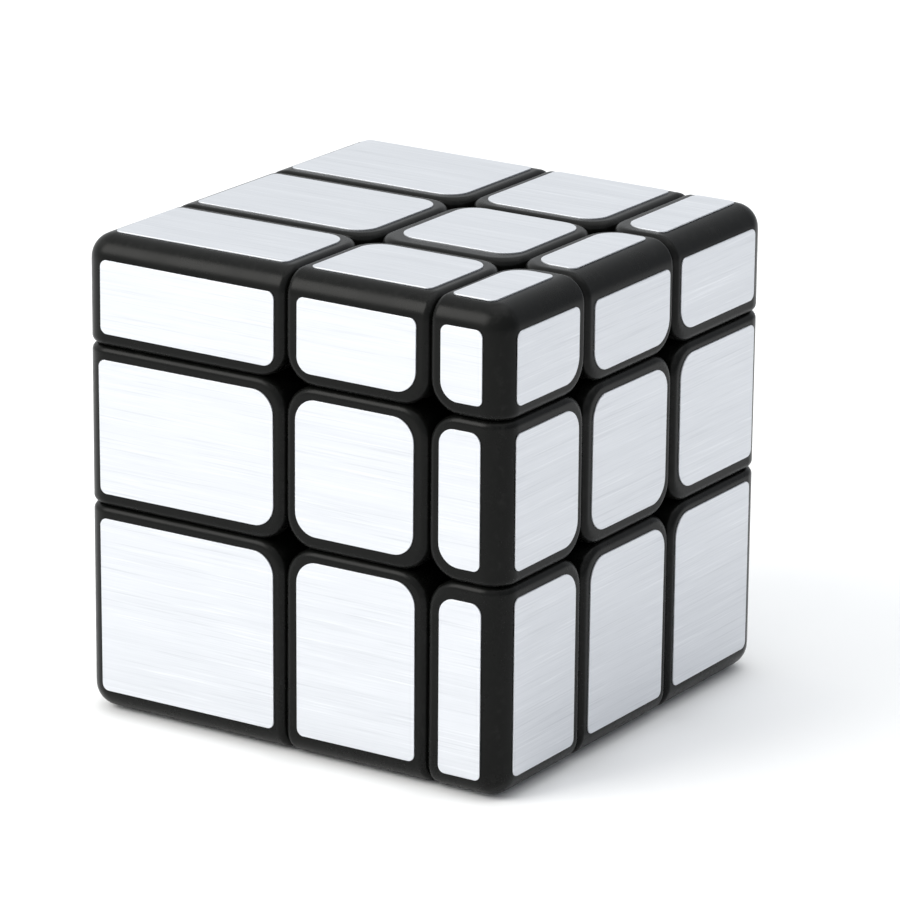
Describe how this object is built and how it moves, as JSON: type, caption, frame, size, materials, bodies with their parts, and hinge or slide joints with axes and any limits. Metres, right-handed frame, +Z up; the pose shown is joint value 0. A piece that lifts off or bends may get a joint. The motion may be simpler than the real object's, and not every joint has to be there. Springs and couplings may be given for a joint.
{
  "type": "mirror block cube",
  "caption": "Shape-shifting cube puzzle with layers of unequal thickness, black blocks with brushed silver stickers, and faces that each turn about a sprung core.",
  "frame": {"origin": "middle of the face the cube stands on", "axes": "+Z up through the cube, -Y out of the front face (17 mm layer), +X out of the right face (10 mm layer)"},
  "size_m": [0.057, 0.057, 0.057],
  "materials": {
    "black_plastic": "satin moulded",
    "silver_foil": "fine brushed",
    "core_plastic": "moulded",
    "screw_steel": "plated",
    "spring_steel": "drawn wire"
  },
  "bodies": {
    "core": {"core": "core_plastic", "core_screws": "screw_steel", "screw_washers": "screw_steel", "core_springs": "spring_steel"},
    "centre_top": {"centre_top": "black_plastic", "centre_top_foil": "silver_foil"},
    "centre_bottom": {"centre_bottom": "black_plastic", "centre_bottom_foil": "silver_foil"},
    "centre_front": {"centre_front": "black_plastic", "centre_front_foil": "silver_foil"},
    "centre_back": {"centre_back": "black_plastic", "centre_back_foil": "silver_foil"},
    "centre_left": {"centre_left": "black_plastic", "centre_left_foil": "silver_foil"},
    "centre_right": {"centre_right": "black_plastic", "centre_right_foil": "silver_foil"},
    "edge_top_front": {"edge_top_front": "black_plastic", "edge_top_front_foils": "silver_foil"},
    "edge_top_back": {"edge_top_back": "black_plastic", "edge_top_back_foils": "silver_foil"},
    "edge_top_left": {"edge_top_left": "black_plastic", "edge_top_left_foils": "silver_foil"},
    "edge_top_right": {"edge_top_right": "black_plastic", "edge_top_right_foils": "silver_foil"},
    "edge_bottom_front": {"edge_bottom_front": "black_plastic", "edge_bottom_front_foils": "silver_foil"},
    "edge_bottom_back": {"edge_bottom_back": "black_plastic", "edge_bottom_back_foils": "silver_foil"},
    "edge_bottom_left": {"edge_bottom_left": "black_plastic", "edge_bottom_left_foils": "silver_foil"},
    "edge_bottom_right": {"edge_bottom_right": "black_plastic", "edge_bottom_right_foils": "silver_foil"},
    "edge_front_left": {"edge_front_left": "black_plastic", "edge_front_left_foils": "silver_foil"},
    "edge_front_right": {"edge_front_right": "black_plastic", "edge_front_right_foils": "silver_foil"},
    "edge_back_left": {"edge_back_left": "black_plastic", "edge_back_left_foils": "silver_foil"},
    "edge_back_right": {"edge_back_right": "black_plastic", "edge_back_right_foils": "silver_foil"},
    "corner_top_front_left": {"corner_top_front_left": "black_plastic", "corner_top_front_left_foils": "silver_foil"},
    "corner_top_front_right": {"corner_top_front_right": "black_plastic", "corner_top_front_right_foils": "silver_foil"},
    "corner_top_back_left": {"corner_top_back_left": "black_plastic", "corner_top_back_left_foils": "silver_foil"},
    "corner_top_back_right": {"corner_top_back_right": "black_plastic", "corner_top_back_right_foils": "silver_foil"},
    "corner_bottom_front_left": {"corner_bottom_front_left": "black_plastic", "corner_bottom_front_left_foils": "silver_foil"},
    "corner_bottom_front_right": {"corner_bottom_front_right": "black_plastic", "corner_bottom_front_right_foils": "silver_foil"},
    "corner_bottom_back_left": {"corner_bottom_back_left": "black_plastic", "corner_bottom_back_left_foils": "silver_foil"},
    "corner_bottom_back_right": {"corner_bottom_back_right": "black_plastic", "corner_bottom_back_right_foils": "silver_foil"}
  },
  "joints": [
    {"name": "top_turn", "type": "hinge", "parent": "core", "child": "centre_top", "pos_m": [0.009, -0.002, 0.0345], "axis": [0, 0, 1], "continuous": true},
    {"name": "bottom_turn", "type": "hinge", "parent": "core", "child": "centre_bottom", "pos_m": [0.009, -0.002, 0.0345], "axis": [0, 0, -1], "continuous": true},
    {"name": "front_turn", "type": "hinge", "parent": "core", "child": "centre_front", "pos_m": [0.009, -0.002, 0.0345], "axis": [0, -1, 0], "continuous": true},
    {"name": "back_turn", "type": "hinge", "parent": "core", "child": "centre_back", "pos_m": [0.009, -0.002, 0.0345], "axis": [0, 1, 0], "continuous": true},
    {"name": "left_turn", "type": "hinge", "parent": "core", "child": "centre_left", "pos_m": [0.009, -0.002, 0.0345], "axis": [-1, 0, 0], "continuous": true},
    {"name": "right_turn", "type": "hinge", "parent": "core", "child": "centre_right", "pos_m": [0.009, -0.002, 0.0345], "axis": [1, 0, 0], "continuous": true},
    {"name": "edge_top_front_follows_front", "type": "hinge", "parent": "centre_top", "child": "edge_top_front", "pos_m": [0.009, -0.002, 0.0345], "axis": [0, -1, 0], "continuous": true},
    {"name": "edge_top_back_follows_back", "type": "hinge", "parent": "centre_top", "child": "edge_top_back", "pos_m": [0.009, -0.002, 0.0345], "axis": [0, 1, 0], "continuous": true},
    {"name": "edge_top_left_follows_top", "type": "hinge", "parent": "centre_left", "child": "edge_top_left", "pos_m": [0.009, -0.002, 0.0345], "axis": [0, 0, 1], "continuous": true},
    {"name": "edge_top_right_follows_top", "type": "hinge", "parent": "centre_right", "child": "edge_top_right", "pos_m": [0.009, -0.002, 0.0345], "axis": [0, 0, 1], "continuous": true},
    {"name": "edge_bottom_front_follows_front", "type": "hinge", "parent": "centre_bottom", "child": "edge_bottom_front", "pos_m": [0.009, -0.002, 0.0345], "axis": [0, -1, 0], "continuous": true},
    {"name": "edge_bottom_back_follows_back", "type": "hinge", "parent": "centre_bottom", "child": "edge_bottom_back", "pos_m": [0.009, -0.002, 0.0345], "axis": [0, 1, 0], "continuous": true},
    {"name": "edge_bottom_left_follows_bottom", "type": "hinge", "parent": "centre_left", "child": "edge_bottom_left", "pos_m": [0.009, -0.002, 0.0345], "axis": [0, 0, -1], "continuous": true},
    {"name": "edge_bottom_right_follows_bottom", "type": "hinge", "parent": "centre_right", "child": "edge_bottom_right", "pos_m": [0.009, -0.002, 0.0345], "axis": [0, 0, -1], "continuous": true},
    {"name": "edge_front_left_follows_left", "type": "hinge", "parent": "centre_front", "child": "edge_front_left", "pos_m": [0.009, -0.002, 0.0345], "axis": [-1, 0, 0], "continuous": true},
    {"name": "edge_front_right_follows_right", "type": "hinge", "parent": "centre_front", "child": "edge_front_right", "pos_m": [0.009, -0.002, 0.0345], "axis": [1, 0, 0], "continuous": true},
    {"name": "edge_back_left_follows_left", "type": "hinge", "parent": "centre_back", "child": "edge_back_left", "pos_m": [0.009, -0.002, 0.0345], "axis": [-1, 0, 0], "continuous": true},
    {"name": "edge_back_right_follows_right", "type": "hinge", "parent": "centre_back", "child": "edge_back_right", "pos_m": [0.009, -0.002, 0.0345], "axis": [1, 0, 0], "continuous": true},
    {"name": "corner_top_front_left_follows_top", "type": "hinge", "parent": "edge_front_left", "child": "corner_top_front_left", "pos_m": [0.009, -0.002, 0.0345], "axis": [0, 0, 1], "continuous": true},
    {"name": "corner_top_front_right_follows_top", "type": "hinge", "parent": "edge_front_right", "child": "corner_top_front_right", "pos_m": [0.009, -0.002, 0.0345], "axis": [0, 0, 1], "continuous": true},
    {"name": "corner_top_back_left_follows_top", "type": "hinge", "parent": "edge_back_left", "child": "corner_top_back_left", "pos_m": [0.009, -0.002, 0.0345], "axis": [0, 0, 1], "continuous": true},
    {"name": "corner_top_back_right_follows_top", "type": "hinge", "parent": "edge_back_right", "child": "corner_top_back_right", "pos_m": [0.009, -0.002, 0.0345], "axis": [0, 0, 1], "continuous": true},
    {"name": "corner_bottom_front_left_follows_bottom", "type": "hinge", "parent": "edge_front_left", "child": "corner_bottom_front_left", "pos_m": [0.009, -0.002, 0.0345], "axis": [0, 0, -1], "continuous": true},
    {"name": "corner_bottom_front_right_follows_bottom", "type": "hinge", "parent": "edge_front_right", "child": "corner_bottom_front_right", "pos_m": [0.009, -0.002, 0.0345], "axis": [0, 0, -1], "continuous": true},
    {"name": "corner_bottom_back_left_follows_bottom", "type": "hinge", "parent": "edge_back_left", "child": "corner_bottom_back_left", "pos_m": [0.009, -0.002, 0.0345], "axis": [0, 0, -1], "continuous": true},
    {"name": "corner_bottom_back_right_follows_bottom", "type": "hinge", "parent": "edge_back_right", "child": "corner_bottom_back_right", "pos_m": [0.009, -0.002, 0.0345], "axis": [0, 0, -1], "continuous": true}
  ],
  "couplings": [
    {"joint": "edge_top_front_follows_front", "follows": "front_turn", "ratio": 1},
    {"joint": "edge_top_back_follows_back", "follows": "back_turn", "ratio": 1},
    {"joint": "edge_top_left_follows_top", "follows": "top_turn", "ratio": 1},
    {"joint": "edge_top_right_follows_top", "follows": "top_turn", "ratio": 1},
    {"joint": "edge_bottom_front_follows_front", "follows": "front_turn", "ratio": 1},
    {"joint": "edge_bottom_back_follows_back", "follows": "back_turn", "ratio": 1},
    {"joint": "edge_bottom_left_follows_bottom", "follows": "bottom_turn", "ratio": 1},
    {"joint": "edge_bottom_right_follows_bottom", "follows": "bottom_turn", "ratio": 1},
    {"joint": "edge_front_left_follows_left", "follows": "left_turn", "ratio": 1},
    {"joint": "edge_front_right_follows_right", "follows": "right_turn", "ratio": 1},
    {"joint": "edge_back_left_follows_left", "follows": "left_turn", "ratio": 1},
    {"joint": "edge_back_right_follows_right", "follows": "right_turn", "ratio": 1},
    {"joint": "corner_top_front_left_follows_top", "follows": "top_turn", "ratio": 1},
    {"joint": "corner_top_front_right_follows_top", "follows": "top_turn", "ratio": 1},
    {"joint": "corner_top_back_left_follows_top", "follows": "top_turn", "ratio": 1},
    {"joint": "corner_top_back_right_follows_top", "follows": "top_turn", "ratio": 1},
    {"joint": "corner_bottom_front_left_follows_bottom", "follows": "bottom_turn", "ratio": 1},
    {"joint": "corner_bottom_front_right_follows_bottom", "follows": "bottom_turn", "ratio": 1},
    {"joint": "corner_bottom_back_left_follows_bottom", "follows": "bottom_turn", "ratio": 1},
    {"joint": "corner_bottom_back_right_follows_bottom", "follows": "bottom_turn", "ratio": 1}
  ]
}
